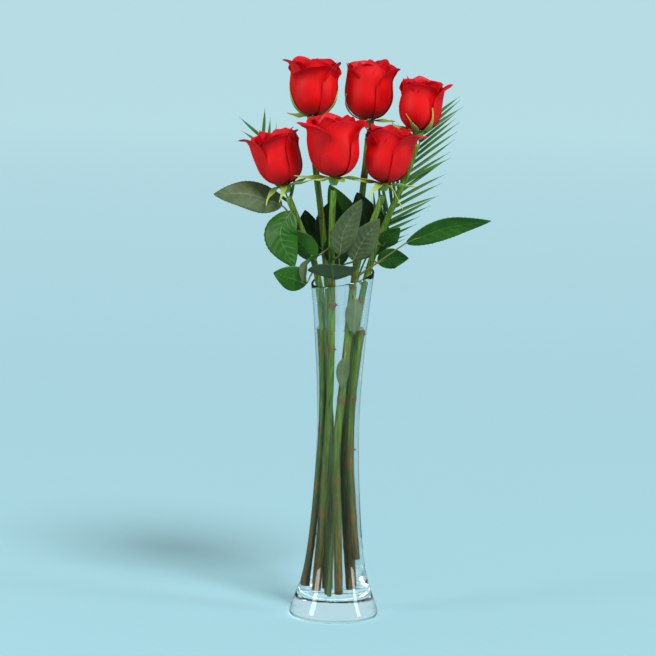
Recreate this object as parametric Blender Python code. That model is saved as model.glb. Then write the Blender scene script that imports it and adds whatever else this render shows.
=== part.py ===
"""Six red roses with their leaves and two palm fronds, standing in a tall waisted glass vase.

Metres, +Z up. The origin is the centre of the vase's foot, on the surface that the vase stands on.
The front of the arrangement faces -Y. Tables of shapes are in millimetres and are scaled by MM.
"""
import math

import bmesh
import bpy
from mathutils import Matrix, Vector

MM = 0.001

# --- Vase: heights and radii in millimetres ---------------------------------------------------------
RIM_HEIGHT = 320
RIM_SLOPE = (0.216, 0.154)
VASE_SIDES = 36
VASE_OUTSIDE = [
    (0, 0), (0, 37.5), (1.2, 40.3), (4, 41.4), (9, 40.4), (15, 38.2), (24, 34.8), (35, 31.3),
    (52, 27.9), (75, 25.0), (105, 22.5), (140, 20.5), (175, 19.6), (210, 20.4), (250, 22.8),
    (290, 26.0), (320, 29.3), (345, 32.2),
]
VASE_INSIDE = [
    (345, 30.3), (320, 27.3), (290, 23.8), (250, 20.4), (210, 18.0), (175, 17.2), (140, 18.1),
    (105, 20.1), (75, 22.5), (52, 25.3), (35, 28.4), (27, 29.6), (20.5, 26.5), (16.5, 19), (14.2, 10),
    (13.5, 0),
]

# --- Rose stems -------------------------------------------------------------------------------------
STEM_RADIUS = 3.2
STEM_POINTS = 14
STEM_TAPER = (1.1, 0.9)
# Each stem's centre line from its cut end up to its neck, which runs straight into the hip
NECK_LENGTH = 14
STEM_ROUTES = {
    "back_left": [(-4, 12, 16.4), (-5, 10, 90), (-5, 8.8, 165), (-9, 9, 240), (-14, 10, 318),
                  (-24, 13, 400)],
    "back_middle": [(11.5, 9, 17), (7, 10, 90), (4, 9.2, 165), (7, 12, 240), (12, 16, 318),
                    (17, 21, 400)],
    "back_right": [(16.5, -3, 50), (12.5, -2.2, 95), (8.5, -1.2, 165), (11.5, 0, 240), (22.7, 3, 322),
                   (42, 5, 378), (58, 6, 418)],
    "front_left": [(-20, 8, 19.9), (-15.5, 4, 90), (-12.2, -0.6, 165), (-14, -6, 240),
                   (-21.5, -10, 318), (-34, -12, 356)],
    "front_middle": [(-13, 0, 17), (-10.5, -4, 90), (-8.6, -8, 165), (-7.5, -13.5, 240), (-9, -20, 318),
                     (-11, -26.5, 364)],
    "front_right": [(4, -14, 17), (1.5, -11, 90), (-1, -9.6, 160), (2.5, -9.6, 215), (10.5, -14, 318),
                    (23, -18.5, 366)],
}

# --- Rose heads: centre of the hip's top, axis, and size against the standard head ------------------
HEADS = {
    "back_left": ((-31, 14, 468), (0.02, 0, 1), 1.02),
    "back_middle": ((21, 24, 465), (-0.02, 0, 1), 1.04),
    "back_right": ((67, 6, 457), (0.05, 0, 1), 0.92),
    "front_left": ((-54.5, -14, 406), (-0.27, 0, 1), 0.96),
    "front_middle": ((-10, -32, 416), (0, -0.06, 1), 1.06),
    "front_right": ((36.5, -22, 411), (0.1, 0, 1), 0.98),
}
HIP_HEIGHT = 8
HIP_SIDES = 10
# Hip outline below the head's base: depth and radius
HIP_OUTLINE = [(0, 4.3), (0.5, 5.0), (1.9, 5.1), (4.5, 4.6), (7.7, 3.4)]

# A petal's lengthwise bend: share of its length, and degrees that it leans out from the head's axis
BODY_TURN = [(0, 82), (0.15, 60), (0.3, 28), (0.45, 6), (0.6, -6), (0.78, -8), (1.0, -8)]
PETAL_LENGTH = 60
PETAL_THICKNESS = 0.7
PETAL_ROOT = (2.9, 0.9)
PETAL_COLUMNS = 6
PETAL_ROWS = 6
PETAL_SPAN = 62
LIP_LENGTH = 13
LAYER_STEP = 1.8
HEART_SIDES = 12
HEART_NECK = 2.4

# Per rose: azimuth of the first outer petal (degrees, 0 is the front, 90 the right) and the lips of
# the two outer and two inner petals, in degrees that they lean out at the edge
PETAL_STYLES = {
    "back_left": (-80, (75, 55, 0, -8)),
    "back_middle": (100, (60, 35, -8, -8)),
    "back_right": (85, (70, 30, -8, -8)),
    "front_left": (-90, (80, 45, 0, -8)),
    "front_middle": (-70, (85, 60, 0, -8)),
    "front_right": (80, (85, 50, 0, -8)),
}

# --- Sepals: azimuth, length, and how the blade runs: up along the head, raised, out or down ---------
SEPAL_WIDTHS = [3.0, 3.4, 2.6, 1.6, 0.5]
SEPAL_THICKNESS = 0.45
SEPAL_CLEARANCE = 2.4
SEPALS = {
    "back_left": [(-60, 36, "up"), (15, 26, "out"), (60, 34, "up"), (150, 26, "up"), (-130, 28, "out")],
    "back_middle": [(-85, 32, "up"), (-10, 26, "out"), (70, 26, "out"), (140, 28, "up"), (-150, 26, "out")],
    "back_right": [(-75, 28, "raised"), (-15, 26, "up"), (40, 34, "up"), (120, 26, "up"), (-150, 26, "out")],
    "front_left": [(-80, 24, "down"), (-10, 22, "down"), (50, 26, "out"), (125, 28, "out"), (-150, 28, "up")],
    "front_middle": [(-85, 32, "out"), (-30, 24, "out"), (40, 24, "out"), (95, 28, "out"), (175, 30, "up")],
    "front_right": [(-85, 28, "out"), (-30, 26, "down"), (25, 34, "down"), (85, 26, "out"), (170, 30, "up")],
}
SEPAL_TURN = {"raised": (84, 60), "out": (90, 88), "down": (95, 150)}

# --- Leaves: stem, height of the joint, blade's base, middle and tip, side, half width, fold ---------
LEAF_THICKNESS = 0.7
PETIOLE_HALF_WIDTH = 0.8
PETIOLE_GAP = 0.7
LEAF_STATIONS = 10
PETIOLE_STATIONS = 3
LEAVES = {
    "leaf_far_left": ("front_left", 372, (-57, -10, 386), (-88, -12, 396), (-120, -12, 395),
                      (0.1, 0.45, 0.9), 15, 12),
    "leaf_hanging_left": ("front_left", 380, (-48, -20, 382), (-58, -25, 361), (-44, -29, 331),
                          (-0.9, 0.2, -0.35), 17, 14),
    "leaf_low_left": ("front_left", 326, (-33, -27, 316), (-47, -34, 322), (-63, -38, 327),
                      (0.2, -0.1, 0.97), 12, 10),
    "leaf_dark_left": ("front_left", 334, (-25, -20, 337), (-37, -21, 352), (-52, -22, 366),
                       (0.62, -0.3, 0.7), 11, 12),
    "leaf_curled": ("front_middle", 346, (-21, -32, 344), (-33, -38, 334), (-35, -41, 318),
                    (0.6, -0.6, 0.5), 8, 25),
    "leaf_over_rim": ("front_middle", 313, (-8, -30, 322), (-9, -45, 331), (-10, -61, 339),
                      (1, 0.05, 0), 23, 10),
    "leaf_front_upright": ("front_middle", 336, (-3, -33, 344), (1, -37, 368), (16, -38, 396),
                           (-0.85, -0.4, 0.3), 13, 14),
    "leaf_centre_right": ("front_right", 332, (10, -24, 338), (18, -28, 357), (33, -30, 378),
                          (-0.75, -0.2, 0.62), 13, 12),
    "leaf_right_upper": ("back_right", 347, (37, -6, 351), (43, -12, 360), (52, -18, 369),
                         (-0.5, -0.4, 0.75), 9, 12),
    "leaf_right_lower": ("back_right", 334, (33, -3, 334), (46, -6, 340), (61, -9, 340),
                         (0.1, -0.4, 0.9), 11, 12),
    "leaf_far_right": ("front_right", 322, (58, -18, 355), (95, -14, 370), (136, -6, 376),
                       (-0.1, -0.5, 0.86), 12, 10),
    "leaf_inside_mouth": ("front_right", 306, (12, -19, 303), (12.5, -17.6, 287), (11, -15.4, 268),
                          (0.86, 0.5, 0), 9, -16),
    "leaf_in_water": ("front_right", 254, (4, -16.8, 247), (2.5, -16.0, 233), (2, -15.2, 218),
                      (0.98, 0.1, 0), 6, 12),
    "leaf_behind": ("back_middle", 345, (10, 27, 352), (0, 34, 375), (-14, 36, 402),
                    (0.8, 0.1, 0.3), 14, 12),
}

# --- Palm fronds: rachis route, and the first and last heights that carry leaflets -------------------
RACHIS_RADIUS = (1.7, 0.6)
RACHIS_RINGS = 30
FRONDS = {
    "palm_frond_right": [(-3.5, -4, 14.4), (-1.5, -2, 90), (0.5, 0, 165), (4.5, 3.6, 240),
                         (15, 9.5, 318), (42, 16, 376), (60, 27, 420), (79, 38, 470)],
    "palm_frond_left": [(-5, 4, 14.5), (-5, 2.5, 90), (-5, 0.6, 165), (-9, -0.5, 240), (-20, 1, 318),
                        (-40, 10, 362), (-60, 22, 408), (-80, 27, 452)],
}
LEAFLET_RUN = {"palm_frond_right": (21, 29), "palm_frond_left": (25, 29)}
LEAFLET_LENGTH = {"palm_frond_right": 50, "palm_frond_left": 32}
LEAFLET_LEAN = {"palm_frond_right": 0.8, "palm_frond_left": 1.5}
LEAFLET_WIDTHS = [1.3, 1.8, 1.5, 0.5]
LEAFLET_THICKNESS = 0.4


def clear_scene():
    for item in list(bpy.data.objects):
        bpy.data.objects.remove(item, do_unlink=True)


def make_material(name, colour, roughness, transmission=0.0):
    material = bpy.data.materials.new(name)
    material.use_nodes = True
    shader = material.node_tree.nodes["Principled BSDF"]
    shader.inputs["Base Color"].default_value = (*colour, 1)
    shader.inputs["Roughness"].default_value = roughness
    shader.inputs["Metallic"].default_value = 0
    shader.inputs["Transmission Weight"].default_value = transmission
    return material


def point(values):
    return Vector(values) * MM


def lerp_table(table, position):
    """The second value of a table of pairs, read at a position along the first."""
    for (x0, y0), (x1, y1) in zip(table, table[1:]):
        if position <= x1:
            return y0 + (y1 - y0) * (position - x0) / (x1 - x0)
    return table[-1][1]


def smooth_path(points, count):
    """Points evenly spread along a smooth curve through the given ones."""
    ends = [points[0] * 2 - points[1], *points, points[-1] * 2 - points[-2]]
    dense = []
    for a, b, c, d in zip(ends, ends[1:], ends[2:], ends[3:]):
        for step in range(24):
            t = step / 24
            dense.append(0.5 * (2 * b + (c - a) * t + (2 * a - 5 * b + 4 * c - d) * t * t
                                + (3 * b - a - 3 * c + d) * t * t * t))
    dense.append(points[-1])
    lengths = [0.0]
    for a, b in zip(dense, dense[1:]):
        lengths.append(lengths[-1] + (b - a).length)
    path = []
    index = 0
    for step in range(count):
        target = lengths[-1] * step / (count - 1)
        while index < len(dense) - 2 and lengths[index + 1] < target:
            index += 1
        share = (target - lengths[index]) / (lengths[index + 1] - lengths[index])
        path.append(dense[index].lerp(dense[index + 1], share))
    return path


def add_object(name, bm, material, matrix=None):
    bmesh.ops.recalc_face_normals(bm, faces=bm.faces)
    mesh = bpy.data.meshes.new(name)
    bm.to_mesh(mesh)
    bm.free()
    mesh.shade_smooth()
    mesh.materials.append(material)
    item = bpy.data.objects.new(name, mesh)
    bpy.context.collection.objects.link(item)
    if matrix:
        item.matrix_world = matrix
    return item


def solidify(item, thickness):
    modifier = item.modifiers.new("Thickness", "SOLIDIFY")
    modifier.thickness = thickness * MM
    modifier.offset = 0


def grid_faces(bm, columns):
    for left, right in zip(columns, columns[1:]):
        for a, b, c, d in zip(left, right, right[1:], left[1:]):
            bm.faces.new((a, b, c, d))


# --- Vase -------------------------------------------------------------------------------------------
def spin_outline(bm, outline):
    """Turn an outline of heights and radii about the Z axis."""
    verts = [bm.verts.new((radius * MM, 0, height * MM)) for height, radius in outline]
    edges = [bm.edges.new(pair) for pair in zip(verts, verts[1:])]
    bmesh.ops.spin(bm, geom=verts + edges, cent=(0, 0, 0), axis=(0, 0, 1), angle=2 * math.pi,
                   steps=VASE_SIDES, use_merge=True)


def build_vase(material):
    """Both walls run past the rim, and one sloping cut trims them before the rim joins them."""
    bm = bmesh.new()
    spin_outline(bm, VASE_OUTSIDE)
    spin_outline(bm, VASE_INSIDE)
    bmesh.ops.remove_doubles(bm, verts=bm.verts, dist=0.01 * MM)
    geometry = list(bm.verts) + list(bm.edges) + list(bm.faces)
    bmesh.ops.bisect_plane(bm, geom=geometry, plane_co=(0, 0, RIM_HEIGHT * MM),
                           plane_no=(-RIM_SLOPE[0], -RIM_SLOPE[1], 1), clear_outer=True)
    rim = [edge for edge in bm.edges if edge.is_boundary]
    bmesh.ops.bridge_loops(bm, edges=rim)
    vase = add_object("vase", bm, material)
    vase.data.set_sharp_from_angle(angle=math.radians(50))


# --- Stems ------------------------------------------------------------------------------------------
def stem_path(rose):
    """The stem's centre line, whose last stretch is the straight neck under the hip."""
    base, axis, _ = HEADS[rose]
    down = -Vector(axis).normalized() * MM
    top = point(base) + down * HIP_HEIGHT
    neck = top + down * NECK_LENGTH
    route = [point(values) for values in STEM_ROUTES[rose]] + [neck]
    return smooth_path(route, STEM_POINTS - 1) + [top]


def build_stem(rose, material):
    path = stem_path(rose)
    curve = bpy.data.curves.new(rose + "_stem", "CURVE")
    curve.dimensions = "3D"
    curve.bevel_depth = STEM_RADIUS * MM
    curve.bevel_resolution = 2
    curve.use_fill_caps = True
    spline = curve.splines.new("POLY")
    spline.points.add(len(path) - 1)
    for index, (knot, place) in enumerate(zip(spline.points, path)):
        share = index / (len(path) - 1)
        knot.co = (*place, 1)
        knot.radius = STEM_TAPER[0] + (STEM_TAPER[1] - STEM_TAPER[0]) * share
    curve.materials.append(material)
    item = bpy.data.objects.new(rose + "_stem", curve)
    bpy.context.collection.objects.link(item)


def stem_at(rose, height):
    """The stem's centre, direction and radius at a height given in millimetres."""
    path = stem_path(rose)
    for index, (low, high) in enumerate(zip(path, path[1:])):
        if high.z >= height * MM:
            share = (height * MM - low.z) / (high.z - low.z)
            along = (index + share) / (len(path) - 1)
            radius = STEM_RADIUS * (STEM_TAPER[0] + (STEM_TAPER[1] - STEM_TAPER[0]) * along)
            return low.lerp(high, share), (high - low).normalized(), radius * MM


# --- Heads ------------------------------------------------------------------------------------------
def head_matrix(rose):
    base, axis, _ = HEADS[rose]
    tilt = Vector((0, 0, 1)).rotation_difference(Vector(axis).normalized())
    return Matrix.Translation(point(base)) @ tilt.to_matrix().to_4x4()


def around(azimuth, radius, height):
    """A point about the head's axis: azimuth 0 faces -Y and 90 faces +X."""
    angle = math.radians(azimuth)
    return Vector((math.sin(angle) * radius, -math.cos(angle) * radius, height))


def petal_profile(length, lip, offset, size, rows):
    """Radius and height up one column of a petal, set in from the outer layer by an offset."""
    radius, height = PETAL_ROOT
    fine = 60
    step = length / fine
    profile = []
    for index in range(fine + 1):
        run = index * step
        curl = min(max((run - length + LIP_LENGTH) / LIP_LENGTH, 0), 1)
        turn = math.radians(lerp_table(BODY_TURN, run / PETAL_LENGTH) + (lip + 8) * curl * curl)
        inset = offset / size
        place = (radius - inset * math.cos(turn), height + inset * math.sin(turn))
        profile.append((max(place[0], PETAL_ROOT[0]) * size, place[1] * size))
        radius += math.sin(turn) * step
        height += math.cos(turn) * step
    return [profile[round(fine * row / rows)] for row in range(rows + 1)]


def build_petal(name, rose, azimuth, layer, lip, material):
    size = HEADS[rose][2]
    bm = bmesh.new()
    columns = []
    for column in range(PETAL_COLUMNS + 1):
        side = 2 * column / PETAL_COLUMNS - 1
        length = PETAL_LENGTH * (1 - 0.15 * abs(side) ** 2.2)
        profile = petal_profile(length, lip, layer * LAYER_STEP, size, PETAL_ROWS)
        angle = azimuth + side * PETAL_SPAN
        columns.append([bm.verts.new(around(angle, radius * MM, height * MM)) for radius, height in profile])
    grid_faces(bm, columns)
    petal = add_object(name, bm, material, head_matrix(rose))
    solidify(petal, PETAL_THICKNESS)


def build_heart(rose, material):
    """The closed middle of the flower, on a short neck that the petals stand around."""
    size = HEADS[rose][2]
    wall = petal_profile(PETAL_LENGTH * 0.8, -20, 2 * LAYER_STEP, size, 7)[1:]
    top = wall[-1][1]
    neck = HEART_NECK * size
    outline = [(0, 0.35), (neck, 0.35), (neck, wall[0][1]), *wall]
    outline += [(wall[-1][0] * 0.6, top + 2.6 * size), (0, top + 3.4 * size)]
    bm = bmesh.new()
    verts = [bm.verts.new((radius * MM, 0, height * MM)) for radius, height in outline]
    edges = [bm.edges.new(pair) for pair in zip(verts, verts[1:])]
    bmesh.ops.spin(bm, geom=verts + edges, cent=(0, 0, 0), axis=(0, 0, 1), angle=2 * math.pi,
                   steps=HEART_SIDES, use_merge=True)
    bmesh.ops.remove_doubles(bm, verts=bm.verts, dist=0.01 * MM)
    add_object(rose + "_heart", bm, material, head_matrix(rose))


def grow_blade(bm, face, stations):
    """Extrude one face of a stalk into a thin blade: centre, side, normal, half width and thickness."""
    for centre, side, normal, half_width, half_thickness in stations:
        face = bmesh.ops.extrude_discrete_faces(bm, faces=[face])["faces"][0]
        middle = face.calc_center_median()
        for vert in face.verts:
            across = math.copysign(half_width * MM, (vert.co - middle).dot(side))
            through = math.copysign(half_thickness * MM, (vert.co - middle).dot(normal))
            vert.co = centre + side * across + normal * through


def sepal_outline(kind, length, size):
    """Radius, height and outward lean at each station of a sepal."""
    stations = []
    count = len(SEPAL_WIDTHS)
    if kind == "up":
        profile = petal_profile(PETAL_LENGTH, -8, -SEPAL_CLEARANCE, size, 40)
        for index in range(1, count + 1):
            run = 8 + (length - 8) * (index - 1) / (count - 1)
            row = round(40 * run / PETAL_LENGTH)
            turn = lerp_table(BODY_TURN, run / PETAL_LENGTH)
            stations.append((profile[row][0], profile[row][1], turn))
        return stations
    radius, height = HIP_OUTLINE[1][1], -1.3
    first, last = SEPAL_TURN[kind]
    for index in range(1, count + 1):
        turn = first + (last - first) * (index - 0.5) / count
        radius += math.sin(math.radians(turn)) * length / count
        height += math.cos(math.radians(turn)) * length / count
        stations.append((radius, height, turn))
    return stations


def build_calyx(rose, material):
    """The hip under the head, with its five sepals grown out of the hip's upper edge."""
    size = HEADS[rose][2]
    bm = bmesh.new()
    rings = []
    for depth, radius in HIP_OUTLINE:
        rings.append([bm.verts.new(around(360 * k / HIP_SIDES, radius * MM, -depth * MM))
                      for k in range(HIP_SIDES)])
    for upper, lower in zip(rings, rings[1:]):
        for k in range(HIP_SIDES):
            after = (k + 1) % HIP_SIDES
            bm.faces.new((upper[k], upper[after], lower[after], lower[k]))
    bm.faces.new(rings[0])
    bm.faces.new(rings[-1])
    bmesh.ops.recalc_face_normals(bm, faces=bm.faces)
    free = [face for face in bm.faces if all(-2 * MM < vert.co.z < -0.1 * MM for vert in face.verts)]
    for azimuth, length, kind in SEPALS[rose]:
        outward = around(azimuth, 1, 0)
        face = max(free, key=lambda item: item.normal.dot(outward))
        free.remove(face)
        stations = []
        for (radius, height, turn), half_width in zip(sepal_outline(kind, length, size), SEPAL_WIDTHS):
            lean = math.radians(turn)
            side = around(azimuth + 90, 1, 0)
            normal = around(azimuth, -math.cos(lean), math.sin(lean))
            centre = around(azimuth, radius * MM, height * MM)
            stations.append((centre, side, normal, half_width, SEPAL_THICKNESS))
        grow_blade(bm, face, stations)
    add_object(rose + "_calyx", bm, material, head_matrix(rose))


def build_rose(rose, petal_material, calyx_material, stem_material):
    build_stem(rose, stem_material)
    build_calyx(rose, calyx_material)
    build_heart(rose, petal_material)
    first, lips = PETAL_STYLES[rose]
    turns = [0, 180, 90, 270]
    layers = [0, 0, 1, 1]
    for number, (turn, layer, lip) in enumerate(zip(turns, layers, lips), start=1):
        build_petal(f"{rose}_petal_{number}", rose, first + turn, layer, lip, petal_material)


# --- Leaves -----------------------------------------------------------------------------------------
def leaf_half_width(share, half_width):
    """The blade's half width at a share of its length: widest at two fifths, pointed at the tip."""
    return half_width * math.sin(math.pi * share ** 0.75) ** 0.8


def build_leaf(name, material):
    stem, height, base, middle, tip, side, half_width, fold = LEAVES[name]
    centre, along, radius = stem_at(stem, height)
    outward = point(base) - centre
    outward = (outward - along * outward.dot(along)).normalized()
    start = centre + outward * (radius + PETIOLE_GAP * MM)
    petiole = smooth_path([start, start.lerp(point(base), 0.5), point(base)], PETIOLE_STATIONS + 1)[:-1]
    blade = smooth_path([point(base), point(middle), point(tip)], LEAF_STATIONS - PETIOLE_STATIONS)
    path = petiole + blade
    lift = math.sin(math.radians(fold))
    spread = math.cos(math.radians(fold))
    columns = [[], [], []]
    bm = bmesh.new()
    for index, place in enumerate(path):
        ahead = path[min(index + 1, len(path) - 1)]
        behind = path[max(index - 1, 0)]
        along = (ahead - behind).normalized()
        across = (Vector(side) - along * Vector(side).dot(along)).normalized()
        normal = along.cross(across)
        share = (index - PETIOLE_STATIONS) / (LEAF_STATIONS - PETIOLE_STATIONS - 1)
        reach = PETIOLE_HALF_WIDTH
        if 0 < share < 1:
            reach = max(reach, leaf_half_width(share, half_width))
        for column, hand in zip(columns, (-1, 0, 1)):
            shift = across * hand * spread + normal * abs(hand) * lift
            column.append(bm.verts.new(place + shift * reach * MM))
    grid_faces(bm, columns)
    leaf = add_object(name, bm, material)
    solidify(leaf, LEAF_THICKNESS)


# --- Palm fronds ------------------------------------------------------------------------------------
def build_frond(name, material):
    """A thin rachis, with a pair of narrow leaflets grown from every ring in its upper part."""
    path = smooth_path([point(values) for values in FRONDS[name]], RACHIS_RINGS)
    bm = bmesh.new()
    rings = []
    for index, place in enumerate(path):
        along = (path[min(index + 1, len(path) - 1)] - path[max(index - 1, 0)]).normalized()
        right = Vector((1, 0, 0)) - along * along.x
        right.normalize()
        forward = along.cross(right)
        share = index / (len(path) - 1)
        radius = (RACHIS_RADIUS[0] + (RACHIS_RADIUS[1] - RACHIS_RADIUS[0]) * share) * MM
        rings.append([bm.verts.new(place + (right * math.cos(a) + forward * math.sin(a)) * radius)
                      for a in (math.radians(30 + 60 * k) for k in range(6))])
    sides = {}
    for index, (low, high) in enumerate(zip(rings, rings[1:])):
        for k in range(6):
            sides[index, k] = bm.faces.new((low[k], low[(k + 1) % 6], high[(k + 1) % 6], high[k]))
    bm.faces.new(rings[0])
    bm.faces.new(rings[-1])
    bmesh.ops.recalc_face_normals(bm, faces=bm.faces)
    first, last = LEAFLET_RUN[name]
    for index in range(first, last):
        for face_index, hand in ((2, -1), (5, 1)):
            face = sides[index, face_index]
            start = face.calc_center_median()
            along = (path[index + 1] - path[index]).normalized()
            outward = face.normal.copy()
            stations = []
            for step, half_width in enumerate(LEAFLET_WIDTHS, start=1):
                reach = LEAFLET_LENGTH[name] * MM * step / len(LEAFLET_WIDTHS)
                direction = (outward + along * (LEAFLET_LEAN[name] + 0.1 * step)).normalized()
                side = (along - direction * along.dot(direction)).normalized()
                normal = direction.cross(side)
                stations.append((start + direction * reach, side, normal, half_width, LEAFLET_THICKNESS))
            grow_blade(bm, face, stations)
    add_object(name, bm, material)


def main():
    clear_scene()
    glass = make_material("clear_glass", (0.93, 0.97, 0.97), 0.03, transmission=1.0)
    petal = make_material("red_petal", (0.62, 0.01, 0.02), 0.55)
    calyx = make_material("green_calyx", (0.17, 0.27, 0.05), 0.5)
    stem = make_material("green_stem", (0.10, 0.18, 0.03), 0.45)
    leaf = make_material("rose_leaf", (0.05, 0.14, 0.04), 0.4)
    palm = make_material("palm_leaf", (0.05, 0.16, 0.06), 0.4)
    build_vase(glass)
    for rose in HEADS:
        build_rose(rose, petal, calyx, stem)
    for name in LEAVES:
        build_leaf(name, leaf)
    for name in FRONDS:
        build_frond(name, palm)


main()
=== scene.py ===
"""Six red roses with leaves and palm fronds in a tall waisted glass vase.

Shapes are tabled in millimetres and scaled by MM. Azimuths are in degrees about a rose's own axis:
0 faces the front (-Y) and 90 the right (+X).
"""
import math
import random

import bpy
from mathutils import Matrix, Vector, noise


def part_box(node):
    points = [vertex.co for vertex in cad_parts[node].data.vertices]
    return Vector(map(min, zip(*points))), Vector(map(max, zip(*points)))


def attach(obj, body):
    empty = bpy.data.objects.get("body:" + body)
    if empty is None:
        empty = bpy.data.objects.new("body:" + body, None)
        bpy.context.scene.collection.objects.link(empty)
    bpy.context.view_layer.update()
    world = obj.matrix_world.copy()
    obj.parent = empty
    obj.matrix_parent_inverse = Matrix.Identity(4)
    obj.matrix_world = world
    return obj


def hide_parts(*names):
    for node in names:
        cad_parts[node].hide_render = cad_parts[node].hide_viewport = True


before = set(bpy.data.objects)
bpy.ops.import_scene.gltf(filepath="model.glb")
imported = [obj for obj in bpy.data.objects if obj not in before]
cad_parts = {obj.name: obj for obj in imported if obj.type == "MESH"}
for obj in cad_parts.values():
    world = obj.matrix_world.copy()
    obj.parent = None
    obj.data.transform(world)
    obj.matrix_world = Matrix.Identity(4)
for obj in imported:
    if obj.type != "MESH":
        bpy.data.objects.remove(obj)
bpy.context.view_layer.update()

MM = 0.001
UP = Vector((0, 0, 1))

# --- Camera -----------------------------------------------------------------------------------------
CAMERA_PLACE = Vector((-0.0118, -3.1, 0.69))
CAMERA_PITCH = math.radians(7.68)
CAMERA_ROLL = math.radians(1.46)
CAMERA_LENS = 184.8

# --- Vase and water ---------------------------------------------------------------------------------
RIM_HEIGHT = 320
RIM_SLOPE = (0.216, 0.154)
RIM_BLEND = 285
WATER_LEVEL = 272
WATER_GAP = 0.05
VASE_SIDES = 96
VASE_OUTSIDE = [
    (0, 37.5), (1.2, 40.3), (4, 41.3), (9, 40.4), (15, 38.2), (24, 34.8), (35, 31.3), (52, 27.9),
    (75, 25.0), (105, 22.5), (140, 20.5), (175, 19.6), (210, 20.4), (250, 22.8), (290, 26.0),
    (320, 29.3), (345, 32.2),
]
VASE_INSIDE = [
    (13.5, 0), (14.2, 10), (16.5, 19), (20.5, 26.5), (27, 29.6), (35, 28.4), (52, 25.3), (75, 22.5),
    (105, 20.1), (140, 18.1), (175, 17.2), (210, 18.0), (250, 20.4), (290, 23.8), (320, 27.3),
    (345, 30.3),
]

# --- Rose heads: base, axis, size; then each outer petal -------------------------------------------
HEADS = {
    "back_left": ((-31, 14, 468), (0.02, 0, 1), 1.02),
    "back_middle": ((21, 24, 465), (-0.02, 0, 1), 1.04),
    "back_right": ((67, 6, 457), (0.05, 0, 1), 0.92),
    "front_left": ((-54.5, -14, 406), (-0.27, 0, 1), 0.96),
    "front_middle": ((-10, -32, 416), (0, -0.06, 1), 1.06),
    "front_right": ((36.5, -22, 411), (0.1, 0, 1), 0.98),
}
HIP_HEIGHT = 8
BODY_TURN = [(0, 82), (0.15, 60), (0.3, 28), (0.45, 6), (0.6, -6), (0.78, -8), (1.0, -8)]
PETAL_LENGTH = 60
PETAL_ROOT = (2.9, 0.9)
# azimuth, lean of the lip's middle, lean of its sides, length share, opening, half span
OUTER_PETALS = {
    "back_left": [(8, 78, 60, 0.97, 0, 62), (-82, 92, 40, 1.05, 6, 56), (78, 60, 75, 1.0, 2, 58),
                  (150, 40, 40, 1.0, 0, 62), (-145, 50, 40, 1.02, 2, 60)],
    "back_middle": [(-6, 0, 10, 1.0, 0, 64), (72, 85, 50, 0.96, 3, 56), (128, 60, 50, 0.98, 3, 58),
                    (-80, 22, 35, 0.98, 0, 58), (-150, 30, 30, 1.0, 0, 62)],
    "back_right": [(-4, 40, 70, 0.97, 0, 60), (84, 105, 60, 1.04, 8, 52), (-80, 10, 25, 1.0, 1, 60),
                   (150, 30, 30, 1.0, 0, 60), (-150, 30, 40, 1.0, 0, 60)],
    "front_left": [(12, 62, 45, 0.97, 0, 60), (-84, 96, 55, 1.12, 13, 54), (80, 70, 45, 1.0, 2, 56),
                   (150, 45, 40, 1.0, 2, 62), (-150, 60, 40, 1.02, 3, 60)],
    "front_middle": [(26, 2, 45, 1.0, 1, 60), (-62, 125, 80, 1.08, 12, 58), (96, 80, 60, 1.0, 3, 56),
                     (160, 35, 35, 0.98, 0, 62), (-134, 40, 60, 1.0, 2, 60)],
    "front_right": [(-14, 30, 50, 0.99, 1, 60), (64, 112, 55, 1.08, 13, 54), (-86, 58, 45, 0.98, 2, 56),
                    (146, 40, 40, 1.0, 2, 60), (-148, 45, 40, 1.0, 1, 60)],
}

# --- Sepals: azimuth, length, kind -----------------------------------------------------------------
SEPALS = {
    "back_left": [(-60, 36, "up"), (15, 26, "out"), (60, 34, "up"), (150, 26, "up"), (-130, 28, "out")],
    "back_middle": [(-85, 32, "up"), (-10, 26, "out"), (70, 26, "out"), (140, 28, "up"), (-150, 26, "out")],
    "back_right": [(-75, 28, "raised"), (-15, 26, "up"), (40, 34, "up"), (120, 26, "up"), (-150, 26, "out")],
    "front_left": [(-80, 24, "down"), (-10, 22, "down"), (50, 26, "out"), (125, 28, "out"), (-150, 28, "up")],
    "front_middle": [(-85, 32, "out"), (-30, 24, "out"), (40, 24, "out"), (95, 28, "out"), (175, 30, "up")],
    "front_right": [(-85, 28, "out"), (-30, 26, "down"), (25, 34, "down"), (85, 26, "out"), (170, 30, "up")],
}
SEPAL_TURN = {"raised": (84, 60), "out": (92, 84), "down": (95, 158)}
SEPAL_CLEARANCE = 2.0

# --- Side veins of a leaf: how many, and how far they run on towards the tip -------------------------
SIDE_VEINS = 9
VEIN_SLANT = 0.17

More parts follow.
